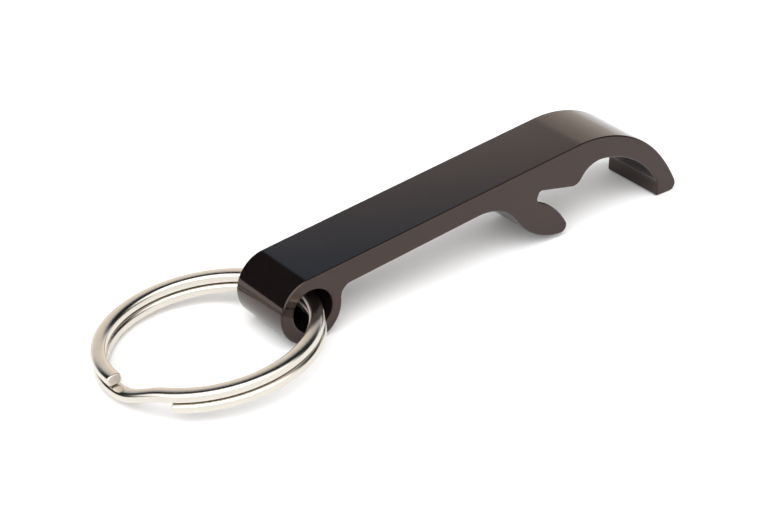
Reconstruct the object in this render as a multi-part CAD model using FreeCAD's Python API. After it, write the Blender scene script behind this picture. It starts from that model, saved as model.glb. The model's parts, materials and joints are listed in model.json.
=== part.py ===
"""Keychain bottle opener: an extruded hook-shaped bar and the split ring in its eye.

The bar's side outline is drawn in its own X-Z plane, X from the tail to the hook
and Z up from the straight top face.  The bar is then tipped until it rests on its
tail and on the tip of its hook, as it lies on a table.  The ring lies out from the
tail, held in the eye at one side and resting on the table at the other.
"""
import FreeCAD, Part
import math
import os

V = FreeCAD.Vector

# ---- the bar ------------------------------------------------------------
BAR_WIDTH = 12.0
WALL = 3.6
WALL_AT_TAIL = 3.9
EDGE_BREAK = 0.3

EYE_X, EYE_Z, EYE_R = 0.9, -5.45, 5.45
HOLE_X, HOLE_Z, HOLE_R = 1.14, -5.5, 3.47

HEAD_X, HEAD_Z, HEAD_R = 53.4, -19.1, 19.1
HOOK_X, HOOK_Z, HOOK_R = 54.5, -19.35, 15.2
HEAD_END = 33.0
LIP_X = 68.6

# the corners of the outline before they are rounded: x, z, radius
TIP_HEEL = (72.95, -16.78, 1.3)
TIP_TOE = (68.25, -16.22, 0)
LIP_TOP = (LIP_X, HOOK_Z + math.sqrt(HOOK_R ** 2 - (LIP_X - HOOK_X) ** 2), 2.0)
CREST = (55.0, HOOK_Z + math.sqrt(HOOK_R ** 2 - (55.0 - HOOK_X) ** 2), 4.6)
HEEL = (52.2, -7.05, 1.85)
SLOT_TOP = (44.75, -4.6, 0.7)
SLOT_END = (44.02, -6.1, 0.6)
TOOTH_ROOT = (45.65, -7.22, 3.0)
TOOTH_TIP = (50.05, -14.1, 1.2)
TOOTH_BACK = (40.95, -9.65, 4.0)
TOOTH_FOOT = (37.35, -WALL, 8.2)
NECK = (EYE_X + math.sqrt(EYE_R ** 2 - (WALL_AT_TAIL + EYE_Z) ** 2), -WALL_AT_TAIL, 2.0)

# ---- the split ring -----------------------------------------------------
RING_R = 17.35
WIRE_BREADTH = 2.3
WIRE_HEIGHT = 1.65
TURN_GAP = 0.15
WIRE_ROUND = 0.6
CLIMB_START, CLIMB_SPAN = 185.0, 30.0
END_GAP = 4.0
PITCH_UP = 4.4
ROLL_NEAR = 3.6
SEAT_X, SEAT_Z = 0.86, -0.4


def corner(at):
    """The point of a named corner of the side outline."""
    return V(at[0], 0, at[1])


def on_circle(cx, cz, r, degrees):
    """The point of a circle in the outline's plane, degrees from +X towards +Z."""
    a = math.radians(degrees)
    return V(cx + r * math.cos(a), 0, cz + r * math.sin(a))


def arc(a, mid, b):
    """A circular arc from a through mid to b."""
    return Part.Arc(a, mid, b).toShape()


def line(a, b):
    """A straight edge from a to b."""
    return Part.LineSegment(a, b).toShape()


def leave_along(a, degrees, b):
    """The arc that leaves a in the given direction and ends at b."""
    chord = b - a
    across = math.atan2(chord.z, chord.x)
    half = (across - math.radians(degrees)) / 2
    reach = chord.Length / 2 / math.cos(half)
    way = across - half
    mid = a + V(reach * math.cos(way), 0, reach * math.sin(way))
    return arc(a, mid, b)


def head_edges():
    """The top face, the outside of the head and the tip with its lip."""
    crown = V(HEAD_X, 0, 0)
    shoulder = on_circle(HEAD_X, HEAD_Z, HEAD_R, (90 + HEAD_END) / 2)
    turn = on_circle(HEAD_X, HEAD_Z, HEAD_R, HEAD_END)
    return [
        line(V(EYE_X, 0, 0), crown),
        arc(crown, shoulder, turn),
        leave_along(turn, HEAD_END - 90, corner(TIP_HEEL)),
        line(corner(TIP_HEEL), corner(TIP_TOE)),
        line(corner(TIP_TOE), corner(LIP_TOP)),
    ]


def hook_edges():
    """The inside of the hook, over to the heel that bears on a cap's top."""
    throat = on_circle(HOOK_X, HOOK_Z, HOOK_R, 55)
    return [
        arc(corner(LIP_TOP), throat, corner(CREST)),
        line(corner(CREST), corner(HEEL)),
    ]


def tooth_edges():
    """The slot beside the heel and the hooked tooth that lifts a can's tab."""
    return [
        line(corner(HEEL), corner(SLOT_TOP)),
        line(corner(SLOT_TOP), corner(SLOT_END)),
        line(corner(SLOT_END), corner(TOOTH_ROOT)),
        arc(corner(TOOTH_ROOT), V(48.27, 0, -10.2), corner(TOOTH_TIP)),
        arc(corner(TOOTH_TIP), V(45.4, 0, -13.18), corner(TOOTH_BACK)),
        line(corner(TOOTH_BACK), corner(TOOTH_FOOT)),
    ]


def tail_edges():
    """The underside of the bar and round the outside of the eye."""
    far_side = on_circle(EYE_X, EYE_Z, EYE_R, 225)
    return [
        line(corner(TOOTH_FOOT), corner(NECK)),
        arc(corner(NECK), far_side, V(EYE_X, 0, 0)),
    ]


def round_corners(bar, corners):
    """Round each named corner of the extrusion to its own radius."""
    for at in corners:
        here = []
        for edge in bar.Edges:
            middle = edge.CenterOfMass
            away = math.hypot(middle.x - at[0], middle.z - at[1])
            if away < 0.01 and edge.BoundBox.YLength > BAR_WIDTH - 1:
                here.append(edge)
        bar = bar.makeFillet(at[2], here)
    return bar


def tip_round_centre():
    """The centre of the rounding at the tip's heel, on the bisector of its two edges."""
    heel = corner(TIP_HEEL)
    chord = heel - on_circle(HEAD_X, HEAD_Z, HEAD_R, HEAD_END)
    arriving = 2 * math.atan2(chord.z, chord.x) - math.radians(HEAD_END - 90)
    up_outside = V(-math.cos(arriving), 0, -math.sin(arriving))
    to_toe = (corner(TIP_TOE) - heel).normalize()
    half = up_outside.getAngle(to_toe) / 2
    return heel + (up_outside + to_toe).normalize() * (TIP_HEEL[2] / math.sin(half))


def rest_angle():
    """Degrees the bar tips, hook end up, until tail and tip both touch the table.

    The table is the line that touches the eye's outer circle and the tip's rounding.
    """
    tip = tip_round_centre()
    dx, dz = tip.x - EYE_X, tip.z - EYE_Z
    slope = math.atan2(dz, dx) + math.asin((EYE_R - TIP_HEEL[2]) / math.hypot(dx, dz))
    return -math.degrees(slope)


def side_rim_edges(solid):
    """Every edge that lies in one of the two flat side faces."""
    half = BAR_WIDTH / 2
    rim = []
    for edge in solid.Edges:
        box = edge.BoundBox
        flat = box.YMax - box.YMin < 1e-6
        if flat and abs(abs(box.YMin) - half) < 1e-6:
            rim.append(edge)
    return rim


def make_opener():
    """The bar: the outline extruded, the eye bored, its side edges broken."""
    outline = Part.Wire(head_edges() + hook_edges() + tooth_edges() + tail_edges())
    outline.translate(V(0, -BAR_WIDTH / 2, 0))
    bar = Part.Face(outline).extrude(V(0, BAR_WIDTH, 0))
    bar = round_corners(bar, [
        TIP_HEEL, LIP_TOP, CREST, HEEL, SLOT_TOP, SLOT_END,
        TOOTH_ROOT, TOOTH_TIP, TOOTH_BACK, TOOTH_FOOT, NECK,
    ])
    start = V(HOLE_X, -BAR_WIDTH, HOLE_Z)
    bore = Part.makeCylinder(HOLE_R, 2 * BAR_WIDTH, start, V(0, 1, 0))
    bar = bar.cut(bore)
    return bar.makeFillet(EDGE_BREAK, side_rim_edges(bar)).Solids[0]


def wire_section(degrees, height):
    """The rounded rectangle of the wire at a bearing round the ring, at a height."""
    w, h, r = WIRE_BREADTH / 2, WIRE_HEIGHT / 2, WIRE_ROUND
    k = r * (1 - math.sqrt(0.5))
    corners = []
    for sx, sz in ((1, 1), (-1, 1), (-1, -1), (1, -1)):
        a = V(sx * w, 0, sz * (h - r))
        m = V(sx * (w - k), 0, sz * (h - k))
        b = V(sx * (w - r), 0, sz * h)
        if sx * sz < 0:
            a, b = b, a
        corners.append((a, m, b))
    edges = []
    for i, (a, m, b) in enumerate(corners):
        edges.append(arc(a, m, b))
        edges.append(line(b, corners[(i + 1) % 4][0]))
    section = Part.Wire(edges)
    section.translate(V(RING_R - w, 0, height))
    section.rotate(V(0, 0, 0), V(0, 0, 1), degrees)
    return section


def turn_of_wire(start, span, height):
    """One flat turn of the coil, or most of one, at one height."""
    face = Part.Face(wire_section(start, height))
    return face.revolve(V(0, 0, 0), V(0, 0, 1), span)


def climb(low, high):
    """The short length of wire that climbs from the lower turn to the upper."""
    steps = 8
    sections = []
    for i in range(steps + 1):
        t = i / steps
        rise = t * t * (3 - 2 * t)
        height = low + (high - low) * rise
        sections.append(wire_section(CLIMB_START + t * CLIMB_SPAN, height))
    return Part.makeLoft(sections, True, False)


def make_ring():
    """The split ring: two turns of one wire, joined by the climb, cut at both ends."""
    lift = (WIRE_HEIGHT + TURN_GAP) / 2
    climb_end = CLIMB_START + CLIMB_SPAN
    span = 360 - CLIMB_SPAN - END_GAP
    lower = turn_of_wire(climb_end + END_GAP, span, -lift)
    upper = turn_of_wire(climb_end, span, lift)
    return lower.fuse([upper, climb(-lift, lift)]).removeSplitter().Solids[0]


def place_opener(opener):
    """Tip the bar to rest on the table, its eye's axis over the origin."""
    opener.translate(V(-HOLE_X, 0, -HOLE_Z))
    opener.rotate(V(0, 0, 0), V(0, 1, 0), -rest_angle())


def place_ring(ring):
    """Tilt the ring and hang its wire in the eye, whose axis is at the origin."""
    ring.rotate(V(0, 0, 0), V(1, 0, 0), -ROLL_NEAR)
    ring.rotate(V(0, 0, 0), V(0, 1, 0), -PITCH_UP)
    half = BAR_WIDTH / 2
    mean_r = RING_R - WIRE_BREADTH / 2
    bow = mean_r - math.sqrt(mean_r ** 2 - half ** 2)
    reach = mean_r - bow / 2
    tilt = math.radians(PITCH_UP)
    ring.translate(V(SEAT_X - reach * math.cos(tilt), 0, SEAT_Z - reach * math.sin(tilt)))


def seat(shapes):
    """Move everything so that the whole stands on z = 0, centred on the Z axis."""
    whole = Part.makeCompound(shapes).optimalBoundingBox(False, False)
    shift = V(-whole.Center.x, -whole.Center.y, -whole.ZMin)
    for shape in shapes:
        shape.translate(shift)


opener_body = make_opener()
split_ring = make_ring()
place_opener(opener_body)
place_ring(split_ring)
seat([opener_body, split_ring])

os.makedirs("parts", exist_ok=True)
opener_body.exportStep("parts/opener_body.step")
split_ring.exportStep("parts/split_ring.step")
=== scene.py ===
"""Keychain bottle opener: a black anodised hook-shaped bar with a split key ring in its eye."""

import json
import math

import bpy
import numpy as np
from mathutils import Matrix, Vector
from mathutils.geometry import tessellate_polygon


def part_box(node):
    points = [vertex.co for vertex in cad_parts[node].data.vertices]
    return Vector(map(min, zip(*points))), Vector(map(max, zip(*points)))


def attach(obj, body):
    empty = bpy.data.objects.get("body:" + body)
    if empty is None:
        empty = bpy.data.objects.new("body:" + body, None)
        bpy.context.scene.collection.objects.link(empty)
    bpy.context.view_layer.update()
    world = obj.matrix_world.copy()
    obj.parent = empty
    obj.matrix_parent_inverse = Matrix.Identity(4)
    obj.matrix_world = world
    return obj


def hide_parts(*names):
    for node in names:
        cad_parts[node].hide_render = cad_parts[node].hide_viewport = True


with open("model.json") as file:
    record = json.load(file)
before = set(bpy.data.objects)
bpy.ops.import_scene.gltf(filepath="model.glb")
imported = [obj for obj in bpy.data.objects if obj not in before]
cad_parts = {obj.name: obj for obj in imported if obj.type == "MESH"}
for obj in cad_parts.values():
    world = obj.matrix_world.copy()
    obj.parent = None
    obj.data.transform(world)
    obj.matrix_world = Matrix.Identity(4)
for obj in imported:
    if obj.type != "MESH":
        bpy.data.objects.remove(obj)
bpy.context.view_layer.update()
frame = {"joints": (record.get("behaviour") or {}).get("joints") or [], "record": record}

# ---- the bar ------------------------------------------------------------
# One slice of a hook-shaped aluminium extrusion, its outline the same from face to face.
# It is drilled for the ring, tumbled so that its rims are slightly round, and anodised black.

BAR_WIDTH = 0.012
WALL = 0.0036
WALL_AT_TAIL = 0.0039
RIM_ROUND = 0.0003

EYE = np.array([0.0009, -0.00545])
EYE_R = 0.00545
BORE = np.array([0.00114, -0.0055])
BORE_R = 0.00347

HEAD = np.array([0.0534, -0.0191])
HEAD_R = 0.0191
HEAD_END = 33.0
HOOK = np.array([0.0545, -0.01935])
HOOK_R = 0.0152


def on_circle(centre, radius, degrees):
    """Points centre + radius (cos, sin) at each bearing, one row each."""
    a = np.radians(np.atleast_1d(degrees))
    return centre + radius * np.stack([np.cos(a), np.sin(a)], 1)


def circle_height(centre, radius, x):
    """Where the upper half of a circle stands at x: z = zc + sqrt(r^2 - (x - xc)^2)."""
    return centre[1] + math.sqrt(radius ** 2 - (x - centre[0]) ** 2)


def arc_through(a, b, c, count=400):
    """Points of the circle through a, b and c, from a by way of b to c.

    The centre is where the perpendicular bisectors of ab and bc meet.
    """
    a, b, c = (np.asarray(p, float) for p in (a, b, c))
    lhs = np.array([b - a, c - b])
    rhs = np.array([(b @ b - a @ a) / 2, (c @ c - b @ b) / 2])
    centre = np.linalg.solve(lhs, rhs)
    bearing = [math.atan2(*(p - centre)[::-1]) for p in (a, b, c)]
    bearing = np.unwrap(bearing)
    swing = np.linspace(bearing[0], bearing[2], count)
    return on_circle(centre, np.linalg.norm(a - centre), np.degrees(swing))


def straight(a, b, count=400):
    """Points evenly spaced from a to b."""
    t = np.linspace(0, 1, count)[:, None]
    return (1 - t) * np.asarray(a) + t * np.asarray(b)


def leaving_along(a, degrees, b, count=400):
    """The arc that leaves a in a given direction and ends at b.

    Its middle lies half the turning angle off the chord.
    """
    a, b = np.asarray(a), np.asarray(b)
    chord = b - a
    across = math.atan2(chord[1], chord[0])
    half = (across - math.radians(degrees)) / 2
    reach = np.linalg.norm(chord) / 2 / math.cos(half)
    middle = a + reach * np.array([math.cos(across - half), math.sin(across - half)])
    return arc_through(a, middle, b, count)


def left_of(points):
    """The unit vectors a quarter turn to the left of a line's direction of travel."""
    along = np.gradient(points, axis=0)
    along /= np.linalg.norm(along, axis=1)[:, None]
    return np.stack([-along[:, 1], along[:, 0]], 1)


def rounded(before, after, radius, count=40):
    """Round the corner where two edges meet: trimmed edge, arc, trimmed edge.

    A ball of that radius touches both edges when its centre lies on both edges' parallels,
    so the centre is where the parallels cross, on the side to which the corner turns.
    """
    turn = np.cross(before[-1] - before[-2], after[1] - after[0])
    side = radius * math.copysign(1, turn)
    near_a = before + side * left_of(before)
    near_b = after + side * left_of(after)
    gap = np.linalg.norm(near_a[:, None] - near_b[None], axis=2)
    i, j = np.unravel_index(gap.argmin(), gap.shape)
    centre = (near_a[i] + near_b[j]) / 2
    start, end = before[i] - centre, after[j] - centre
    a0 = math.atan2(start[1], start[0])
    a1 = np.unwrap([a0, math.atan2(end[1], end[0])])[1]
    t = np.linspace(0, 1, count)
    reach = (1 - t) * np.linalg.norm(start) + t * np.linalg.norm(end)
    swing = a0 + t * (a1 - a0)
    bend = centre + reach[:, None] * np.stack([np.cos(swing), np.sin(swing)], 1)
    return before[: i + 1], bend, after[j:]


# the corners of the outline before they are rounded, each with its radius
LIP_X = 0.0686
CREST_X = 0.0550
CORNERS = {
    "tip heel": ((0.07295, -0.01678), 0.0013),
    "tip toe": ((0.06825, -0.01622), 0.00032),
    "lip": ((LIP_X, circle_height(HOOK, HOOK_R, LIP_X)), 0.0020),
    "crest": ((CREST_X, circle_height(HOOK, HOOK_R, CREST_X)), 0.0046),
    "heel": ((0.0522, -0.00705), 0.00185),
    "slot top": ((0.04475, -0.0046), 0.0007),
    "slot end": ((0.04402, -0.0061), 0.0006),
    "tooth root": ((0.04565, -0.00722), 0.0030),
    "tooth tip": ((0.05005, -0.0141), 0.0012),
    "tooth back": ((0.04095, -0.00965), 0.0040),
    "tooth foot": ((0.03735, -WALL), 0.0082),
    "neck": ((EYE[0] + math.sqrt(EYE_R ** 2 - (WALL_AT_TAIL + EYE[1]) ** 2), -WALL_AT_TAIL), 0.0020),
}


def bar_outline():
    """The bar's outline as one closed run of points, clockwise from the tail's top.

    The edges are lines and arcs between the named corners, and each corner is then
    rounded to its own radius.
    """
    at = {name: np.array(place) for name, (place, _) in CORNERS.items()}
    tail_top = np.array([EYE[0], 0.0])
    turn = on_circle(HEAD, HEAD_R, HEAD_END)[0]
    edges = [
        straight(tail_top, (HEAD[0], 0.0)),
        on_circle(HEAD, HEAD_R, np.linspace(90, HEAD_END, 400)),
        leaving_along(turn, HEAD_END - 90, at["tip heel"]),
        straight(at["tip heel"], at["tip toe"]),
        straight(at["tip toe"], at["lip"]),
        arc_through(at["lip"], on_circle(HOOK, HOOK_R, 55)[0], at["crest"], 900),
        straight(at["crest"], at["heel"]),
        straight(at["heel"], at["slot top"], 900),
        straight(at["slot top"], at["slot end"]),
        straight(at["slot end"], at["tooth root"]),
        arc_through(at["tooth root"], (0.04827, -0.0102), at["tooth tip"]),
        arc_through(at["tooth tip"], (0.0454, -0.01318), at["tooth back"], 900),
        straight(at["tooth back"], at["tooth foot"]),
        straight(at["tooth foot"], at["neck"], 2000),
        arc_through(at["neck"], on_circle(EYE, EYE_R, 225)[0], tail_top, 900),
    ]
    names = [None, None] + list(CORNERS)
    run = [edges[0]]
    for name, edge in zip(names, edges[1:]):
        if name is None:
            run.append(edge)
        else:
            run[-1:] = rounded(run[-1], edge, CORNERS[name][1])
    return np.concatenate(run)


def thinned(points, step, turn):
    """Respace a closed run: a point for every step of length or turn of direction.

    Length over step plus turning over the allowed turn, added up along the run,
    is a measure that grows fastest in the bends; equal shares of it are kept.
    """
    apart = np.linalg.norm(np.roll(points, -1, 0) - points, axis=1)
    points = points[apart > 1e-7]
    loop = np.vstack([points, points[:1]])
    legs = np.diff(loop, axis=0)
    way = np.unwrap(np.arctan2(legs[:, 1], legs[:, 0]))
    bend = np.abs(np.diff(way, append=way[-1]))
    bend = np.convolve(bend, np.ones(9) / 9, "same")
    measure = np.concatenate([[0], np.cumsum(np.linalg.norm(legs, axis=1) / step + bend / turn)])
    even = np.linspace(0, measure[-1], int(measure[-1]) + 1)[:-1]
    return np.stack([np.interp(even, measure, loop[:, k]) for k in (0, 1)], 1)


def outward(points):
    """The unit vectors that point out of a closed clockwise run of points."""
    along = np.roll(points, -1, 0) - np.roll(points, 1, 0)
    along /= np.linalg.norm(along, axis=1)[:, None]
    return np.stack([-along[:, 1], along[:, 0]], 1)


def rim_band(outline, steps=5):
    """The outline carried across the bar's width, with both rims rounded.

    At an angle f round the rim the surface stands in from the outline by r (1 - sin f)
    and in from the side face by r (1 - cos f), and faces out by sin f and sideways by cos f.
    Gives points and normals as arrays of ring, place on outline, xyz.
    """
    out = outward(outline)
    f = np.radians(np.linspace(0, 90, steps + 1))
    f = np.concatenate([f, f[::-1]])[:, None]
    side = np.repeat([-1.0, 1.0], steps + 1)[:, None]
    inset = RIM_ROUND * (1 - np.sin(f))
    across = side * (BAR_WIDTH / 2 - RIM_ROUND * (1 - np.cos(f)))
    flat = outline[None] - inset[:, :, None] * out[None]
    ones = np.ones(len(outline))[None]
    points = np.stack([flat[..., 0], across * ones, flat[..., 1]], 2)
    tilt = np.sin(f)
    normals = np.stack([tilt * out[None, :, 0], side * np.cos(f) * ones, tilt * out[None, :, 1]], 2)
    return points, normals


def grid_quads(rows, columns, first=0):
    """Quads of a grid whose columns close on themselves, numbered row by row."""
    r, c = np.meshgrid(np.arange(rows - 1), np.arange(columns), indexing="ij")
    after = (c + 1) % columns
    quads = [r * columns + c, (r + 1) * columns + c, (r + 1) * columns + after, r * columns + after]
    return np.stack(quads, 2).reshape(-1, 4) + first


def side_face(rings, numbers):
    """Triangles that fill a flat face between its outer ring and its bore ring."""
    outlines = [[Vector(p) for p in ring] for ring in rings]
    numbers = np.concatenate(numbers)
    return numbers[np.array(tessellate_polygon(outlines))]


def turned_out(faces, points, normals):
    """Faces with their corners in the order that makes them face along the normals."""
    a, b, c = (points[faces[:, k]] for k in range(3))
    agrees = (np.cross(b - a, c - b) * normals[faces].sum(1)).sum(1) > 0
    return np.where(agrees[:, None], faces, faces[:, ::-1])


def mesh_piece(name, points, normals, faces, materials, slots):
    """A smooth-shaded object from arrays, its shading normals the surface's own."""
    mesh = bpy.data.meshes.new(name)
    mesh.from_pydata(points.tolist(), [], [f for group in faces for f in group.tolist()])
    for material in materials:
        mesh.materials.append(material)
    slot = np.repeat(slots, [len(group) for group in faces]).astype(np.int32)
    mesh.polygons.foreach_set("material_index", slot)
    mesh.polygons.foreach_set("use_smooth", np.ones(len(slot), bool))
    mesh.normals_split_custom_set_from_vertices(normals.tolist())
    piece = bpy.data.objects.new(name, mesh)
    bpy.context.scene.collection.objects.link(piece)
    return piece


def add_node(tree, kind, inputs=None, **settings):
    """Add a shader node, set its properties, and fill or link its inputs by name."""
    node = tree.nodes.new(kind)
    for key, value in settings.items():
        setattr(node, key, value)
    for key, value in (inputs or {}).items():
        if isinstance(value, bpy.types.NodeSocket):
            tree.links.new(value, node.inputs[key])
        else:
            node.inputs[key].default_value = value
    return node


def linear(hex_colour):
    """An sRGB hex colour as linear red, green, blue and alpha 1."""
    part = np.array([int(hex_colour[i: i + 2], 16) for i in (1, 3, 5)]) / 255
    light = np.where(part <= 0.04045, part / 12.92, ((part + 0.055) / 1.055) ** 2.4)
    return (*light.tolist(), 1.0)


def new_material(name):
    """An empty node material, with its tree and its output node."""
    material = bpy.data.materials.new(name)
    material.use_nodes = True
    material.node_tree.nodes.clear()
    output = add_node(material.node_tree, "ShaderNodeOutputMaterial")
    return material, material.node_tree, output


PER_MM = 1000.0
DYE_DARK = "#0c0a0a"
DYE_LIGHT = "#171211"
OXIDE_IOR = 1.54
OXIDE_TINT = (1.0, 0.74, 0.65, 1.0)


def anodised(name, stretch, line_depth, roughness):
    """Black anodised aluminium, sealed: a dyed clear oxide skin, glossy, faintly warm.

    The metal's own marks show through as fine lines, stretched as the tool left them,
    and the dye is a little uneven over some 4 mm.
    """
    material, tree, output = new_material(name)
    place = add_node(tree, "ShaderNodeTexCoord").outputs["Object"]
    cloud = add_node(tree, "ShaderNodeTexNoise", {
        "Vector": place, "Scale": 0.25 * PER_MM, "Detail": 3.0, "Roughness": 0.6})
    dye = add_node(tree, "ShaderNodeMix", {
        "Factor": cloud.outputs["Fac"], "A": linear(DYE_DARK), "B": linear(DYE_LIGHT)}, data_type="RGBA")
    drawn = add_node(tree, "ShaderNodeMapping", {"Vector": place, "Scale": stretch})
    lines = add_node(tree, "ShaderNodeTexNoise", {
        "Vector": drawn.outputs["Vector"], "Scale": 1.0, "Detail": 4.0, "Roughness": 0.65})
    rough = add_node(tree, "ShaderNodeMapRange", {
        "Value": lines.outputs["Fac"], "To Min": roughness * 0.7, "To Max": roughness * 1.3})
    bump = add_node(tree, "ShaderNodeBump", {
        "Height": lines.outputs["Fac"], "Strength": 0.5, "Distance": line_depth})
    skin = add_node(tree, "ShaderNodeBsdfPrincipled", {
        "Base Color": dye.outputs["Result"], "Roughness": rough.outputs["Result"],
        "IOR": OXIDE_IOR, "Specular Tint": OXIDE_TINT, "Normal": bump.outputs["Normal"]})
    tree.links.new(skin.outputs["BSDF"], output.inputs["Surface"])
    return material


# the die draws its lines across the width; they are about 0.15 mm apart
extruded_skin = anodised("black_anodised_extruded", (6.0 * PER_MM, 0.12 * PER_MM, 6.0 * PER_MM), 2e-6, 0.09)
# the sawn sides were tumbled smooth, which leaves a fine even grain of about 0.2 mm
sawn_skin = anodised("black_anodised_tumbled", (5.0 * PER_MM,) * 3, 2e-6, 0.11)

swing = next(j for j in frame["joints"] if j["name"] == "ring_swing")
bore_axis = np.array(swing["pos_m"])
top_face = next(m for m in frame["record"]["mounts"] if m["name"] == "top_face")
lean = math.atan2(-top_face["axis"][0], top_face["axis"][2])


def laid_down(vectors, origin):
    """Turn the bar from its own plane to how it lies, hook end up, and move it there.

    x' = x cos - z sin and z' = x sin + z cos, both about the bore's axis.
    """
    c, s = math.cos(lean), math.sin(lean)
    turn = np.array([[c, 0, -s], [0, 1, 0], [s, 0, c]])
    return vectors @ turn.T + origin


outline = thinned(bar_outline(), 0.0008, math.radians(2.5))
bore_ring = on_circle(BORE, BORE_R, np.linspace(0, 360, 180, endpoint=False))
outer, outer_normals = rim_band(outline)
inner, inner_normals = rim_band(bore_ring)
rings = len(outer)

points = np.concatenate([outer.reshape(-1, 3), inner.reshape(-1, 3)])
normals = np.concatenate([outer_normals.reshape(-1, 3), inner_normals.reshape(-1, 3)])
bore_first = outer[..., 0].size
around = grid_quads(rings, len(outline))
through = grid_quads(rings, len(bore_ring), bore_first)
near = side_face([outer[0], inner[0]], [np.arange(len(outline)), bore_first + np.arange(len(bore_ring))])
last_outer = (rings - 1) * len(outline) + np.arange(len(outline))
last_inner = bore_first + (rings - 1) * len(bore_ring) + np.arange(len(bore_ring))
far = side_face([outer[-1], inner[-1]], [last_outer, last_inner])
faces = [turned_out(group, points, normals) for group in (around, through, near, far)]

points = laid_down(points - np.array([BORE[0], 0, BORE[1]]), bore_axis)
normals = laid_down(normals, 0)
opener = mesh_piece("opener", points, normals, faces, [extruded_skin, sawn_skin], [0, 0, 1, 1])
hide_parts("opener_body")
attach(opener, "opener")

# ---- the split ring -----------------------------------------------------
# Flattened steel wire wound in two turns, sprung shut and nickel plated.
# The wire climbs from the lower turn to the upper beside its two sheared ends.

RING_R = 0.01735
WIRE_BREADTH = 0.0023
WIRE_HEIGHT = 0.00165
TURN_GAP = 0.00015
SQUARENESS = 3.4
CLIMB_START, CLIMB_SPAN = 185.0, 30.0
END_GAP = 4.0
END_ROUND = 0.00018
PITCH_UP = math.radians(4.4)
ROLL_NEAR = math.radians(3.6)


def wire_section(count):
    """The wire's section and its normals: |x/a|^n + |z/b|^n = 1, a squarish oval."""
    t = np.linspace(0, 2 * math.pi, count, endpoint=False)
    power = 2 / SQUARENESS
    x = np.sign(np.cos(t)) * np.abs(np.cos(t)) ** power
    z = np.sign(np.sin(t)) * np.abs(np.sin(t)) ** power
    facing = np.stack([
        np.sign(x) * np.abs(x) ** (SQUARENESS - 1) / WIRE_BREADTH,
        np.sign(z) * np.abs(z) ** (SQUARENESS - 1) / WIRE_HEIGHT], 1)
    facing /= np.linalg.norm(facing, axis=1)[:, None]
    return np.stack([x * WIRE_BREADTH / 2, z * WIRE_HEIGHT / 2], 1), facing


def coil_stations(count, end_steps=5):
    """Where the wire's rings of points stand, as bearing, inset, tilt and lengthwise facing.

    Between the ends the stations are even.  At each sheared end the section draws in by
    e (1 - sin f) while the last e (1 - cos f) of length is used up, f from 90 degrees to 0.
    """
    start = math.radians(CLIMB_START + CLIMB_SPAN + END_GAP)
    end = math.radians(CLIMB_START + 720 - END_GAP)
    f = np.radians(np.linspace(0, 90, end_steps + 1))
    used = END_ROUND * (1 - np.cos(f)) / RING_R
    body = np.linspace(start + used[-1], end - used[-1], count)[1:-1]
    plain = np.zeros(len(body))
    bearing = np.concatenate([start + used, body, (end - used)[::-1]])
    inset = END_ROUND * (1 - np.sin(f))
    inset = np.concatenate([inset, plain, inset[::-1]])
    tilt = np.concatenate([np.sin(f), plain + 1, np.sin(f)[::-1]])
    lengthwise = np.concatenate([-np.cos(f), plain, np.cos(f)[::-1]])
    return bearing, inset, tilt, lengthwise


def coil_height(bearing):
    """The wire's height round the coil: one turn low, then t^2 (3 - 2t) up, then one high."""
    t = np.clip((np.degrees(bearing) - CLIMB_START - 360) / CLIMB_SPAN, 0, 1)
    return (WIRE_HEIGHT + TURN_GAP) * (t * t * (3 - 2 * t) - 0.5)


def coil_surface(count, section_count):
    """The section carried round the coil: points, normals and each point's place on the wire.

    Each ring stands on the outward and upward directions at its bearing.
    """
    bearing, inset, tilt, lengthwise = coil_stations(count)
    section, facing = wire_section(section_count)
    mean_r = RING_R - WIRE_BREADTH / 2
    outwards = np.stack([np.cos(bearing), np.sin(bearing), 0 * bearing], 1)
    along = np.stack([-np.sin(bearing), np.cos(bearing), 0 * bearing], 1)
    drawn_in = section[None] - inset[:, None, None] * facing[None]
    points = (mean_r + drawn_in[..., :1]) * outwards[:, None]
    points[..., 2] = coil_height(bearing)[:, None] + drawn_in[..., 1]
    normals = facing[None, :, :1] * outwards[:, None] + facing[None, :, 1:] * np.array([0, 0, 1.0])
    normals = tilt[:, None, None] * normals + lengthwise[:, None, None] * along[:, None]
    travelled = np.repeat((bearing * mean_r)[:, None], section_count, 1)
    place = np.stack([travelled, drawn_in[..., 0], drawn_in[..., 1]], 2)
    return points, normals, place


def plated_wire():
    """Nickel plate over drawn steel: bright, faintly warm, with fine lines along the wire.

    The plate pools slightly, so its gloss drifts over a few millimetres.
    """
    material, tree, output = new_material("nickel_plated_wire")
    place = add_node(tree, "ShaderNodeAttribute", attribute_name="wire_place").outputs["Vector"]
    # drawing lines some 0.1 mm apart round the section and 8 mm long
    drawn = add_node(tree, "ShaderNodeMapping", {
        "Vector": place, "Scale": (0.12 * PER_MM, 9.0 * PER_MM, 9.0 * PER_MM)})
    lines = add_node(tree, "ShaderNodeTexNoise", {
        "Vector": drawn.outputs["Vector"], "Scale": 1.0, "Detail": 3.0, "Roughness": 0.6})
    pool = add_node(tree, "ShaderNodeTexNoise", {
        "Vector": place, "Scale": 0.35 * PER_MM, "Detail": 2.0})
    gloss = add_node(tree, "ShaderNodeMapRange", {
        "Value": pool.outputs["Fac"], "To Min": 0.16, "To Max": 0.26})
    bump = add_node(tree, "ShaderNodeBump", {
        "Height": lines.outputs["Fac"], "Strength": 0.6, "Distance": 2e-6})
    plate = add_node(tree, "ShaderNodeBsdfPrincipled", {
        "Base Color": linear("#cfc9c0"), "Metallic": 1.0, "Roughness": gloss.outputs["Result"],
        "Normal": bump.outputs["Normal"]})
    tree.links.new(plate.outputs["BSDF"], output.inputs["Surface"])
    return material


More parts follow.
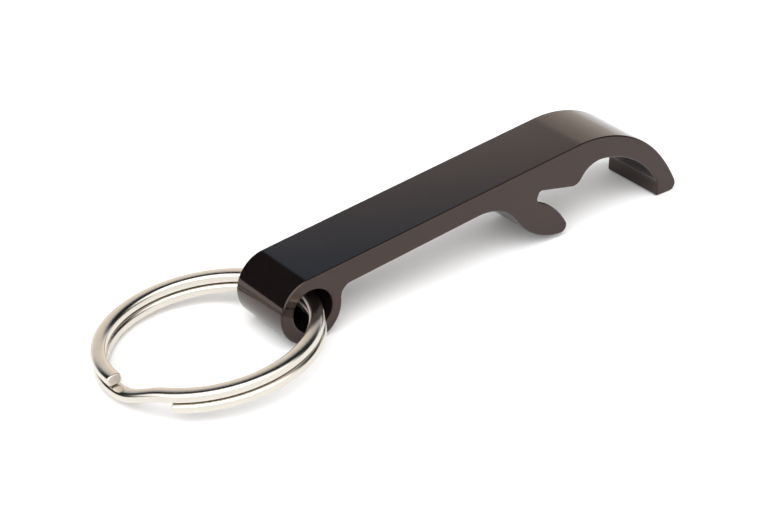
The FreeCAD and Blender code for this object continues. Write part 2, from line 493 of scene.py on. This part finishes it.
def sheared_end():
    """Plate over a sheared steel face: the same metal, torn rough, so duller."""
    material, tree, output = new_material("nickel_plated_sheared_end")
    place = add_node(tree, "ShaderNodeTexCoord").outputs["Object"]
    torn = add_node(tree, "ShaderNodeTexNoise", {"Vector": place, "Scale": 6.0 * PER_MM, "Detail": 4.0})
    bump = add_node(tree, "ShaderNodeBump", {
        "Height": torn.outputs["Fac"], "Strength": 0.8, "Distance": 2e-5})
    plate = add_node(tree, "ShaderNodeBsdfPrincipled", {
        "Base Color": linear("#bdb6ac"), "Metallic": 1.0, "Roughness": 0.38,
        "Normal": bump.outputs["Normal"]})
    tree.links.new(plate.outputs["BSDF"], output.inputs["Surface"])
    return material


def tilted(vectors):
    """Roll the ring about X so its near side rises, then pitch it about Y, tail side up."""
    c, s = math.cos(ROLL_NEAR), math.sin(ROLL_NEAR)
    roll = np.array([[1, 0, 0], [0, c, s], [0, -s, c]])
    c, s = math.cos(PITCH_UP), math.sin(PITCH_UP)
    pitch = np.array([[c, 0, -s], [0, 1, 0], [s, 0, c]])
    return vectors @ (pitch @ roll).T


coil, coil_normals, wire_place = coil_surface(840, 44)
stations, section_count = coil.shape[:2]
points = coil.reshape(-1, 3)
normals = coil_normals.reshape(-1, 3)
tube = turned_out(grid_quads(stations, section_count), points, normals)
first_end = turned_out(np.arange(section_count)[None], points, normals)
last_end = turned_out(np.arange(len(points) - section_count, len(points))[None], points, normals)

low, high = (np.array(corner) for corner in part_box("split_ring"))
points = tilted(points) + (low + high) / 2
normals = tilted(normals)
ring = mesh_piece("key_ring", points, normals, [tube, first_end, last_end],
                  [plated_wire(), sheared_end()], [0, 1, 1])
attribute = ring.data.attributes.new("wire_place", "FLOAT_VECTOR", "POINT")
attribute.data.foreach_set("vector", wire_place.astype(np.float32).ravel())
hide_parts("split_ring")
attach(ring, "ring")

# ---- the table, the light and the camera --------------------------------
# A sheet of white card lit softly from the front and from above on the left.
# The room behind is pale towards the right and dark elsewhere, which shapes the reflections.

FLOOR_HALF = 1.5
CARD_WHITE = (0.93, 0.93, 0.93, 1.0)

# each glow: the direction it is brightest in, its ramp over the cosine to it, its strength
WALL_GLOW = ((0.50, 0.65, -0.57), [
    (0.0, "#000000"), (0.27, "#060708"), (0.33, "#6f90ac"), (0.352, "#a8aaae"), (0.392, "#fff4e8")], 1.25)
FRONT_GLOW = ((-0.25, -0.85, 0.30), [(0.0, "#000000"), (0.30, "#000000"), (0.60, "#ffffff")], 1.9)
ABOVE_GLOW = ((-0.50, -0.25, 0.83), [(0.0, "#000000"), (0.62, "#000000"), (0.80, "#ffffff")], 1.8)


def white_card():
    """Matt white card: nearly all diffuse, with no gloss worth seeing."""
    material, tree, output = new_material("matt_white_card")
    card = add_node(tree, "ShaderNodeBsdfPrincipled", {
        "Base Color": CARD_WHITE, "Roughness": 0.9, "Specular IOR Level": 0.0})
    tree.links.new(card.outputs["BSDF"], output.inputs["Surface"])
    return material


corners = [(x * FLOOR_HALF, y * FLOOR_HALF, 0.0) for x, y in ((-1, -1), (1, -1), (1, 1), (-1, 1))]
floor_mesh = bpy.data.meshes.new("table")
floor_mesh.from_pydata(corners, [], [(0, 1, 2, 3)])
floor_mesh.materials.append(white_card())
floor = bpy.data.objects.new("table", floor_mesh)
bpy.context.scene.collection.objects.link(floor)


def glow(tree, way, towards, stops, strength):
    """Light by direction: a ramp over the cosine between a direction and the one given."""
    facing = add_node(tree, "ShaderNodeVectorMath", {
        0: way, 1: Vector(towards).normalized()}, operation="DOT_PRODUCT")
    ramp = add_node(tree, "ShaderNodeValToRGB", {"Fac": facing.outputs["Value"]})
    elements = ramp.color_ramp.elements
    while len(elements) < len(stops):
        elements.new(0.5)
    for element, (at, colour) in zip(elements, stops):
        element.position = at
        element.color = linear(colour)
    light = add_node(tree, "ShaderNodeBackground", {
        "Color": ramp.outputs["Color"], "Strength": strength})
    return light.outputs["Background"]


def soft_room():
    """The room: a pale wall behind, a soft light in front and one above, added together."""
    world = bpy.data.worlds.new("soft_room")
    bpy.context.scene.world = world
    world.use_nodes = True
    tree = world.node_tree
    tree.nodes.clear()
    way = add_node(tree, "ShaderNodeTexCoord").outputs["Generated"]
    output = add_node(tree, "ShaderNodeOutputWorld")
    lit = glow(tree, way, *WALL_GLOW)
    for more in (FRONT_GLOW, ABOVE_GLOW):
        both = add_node(tree, "ShaderNodeAddShader", {0: lit, 1: glow(tree, way, *more)})
        lit = both.outputs["Shader"]
    tree.links.new(lit, output.inputs["Surface"])


soft_room()

CAMERA_AZIMUTH = -35.122
CAMERA_ELEVATION = 30.736
CAMERA_ROLL = -2.698
CAMERA_DISTANCE = 0.37144
CAMERA_AIM = Vector((-0.00338, -0.00006, 0.00405))
CAMERA_LENS = 115.206

camera_data = bpy.data.cameras.new("camera")
camera_data.lens = CAMERA_LENS
camera_data.sensor_width = 36.0
camera_data.clip_start = 0.01
camera = bpy.data.objects.new("camera", camera_data)
azimuth, elevation = math.radians(CAMERA_AZIMUTH), math.radians(CAMERA_ELEVATION)
back = Vector((
    math.sin(azimuth) * math.cos(elevation),
    -math.cos(azimuth) * math.cos(elevation),
    math.sin(elevation)))
upright = back.to_track_quat("Z", "Y").to_matrix().to_4x4()
rolled = Matrix.Rotation(math.radians(CAMERA_ROLL), 4, "Z")
camera.matrix_world = Matrix.Translation(CAMERA_AIM + CAMERA_DISTANCE * back) @ upright @ rolled
bpy.context.scene.collection.objects.link(camera)
bpy.context.scene.camera = camera
bpy.context.scene.view_settings.view_transform = "Standard"
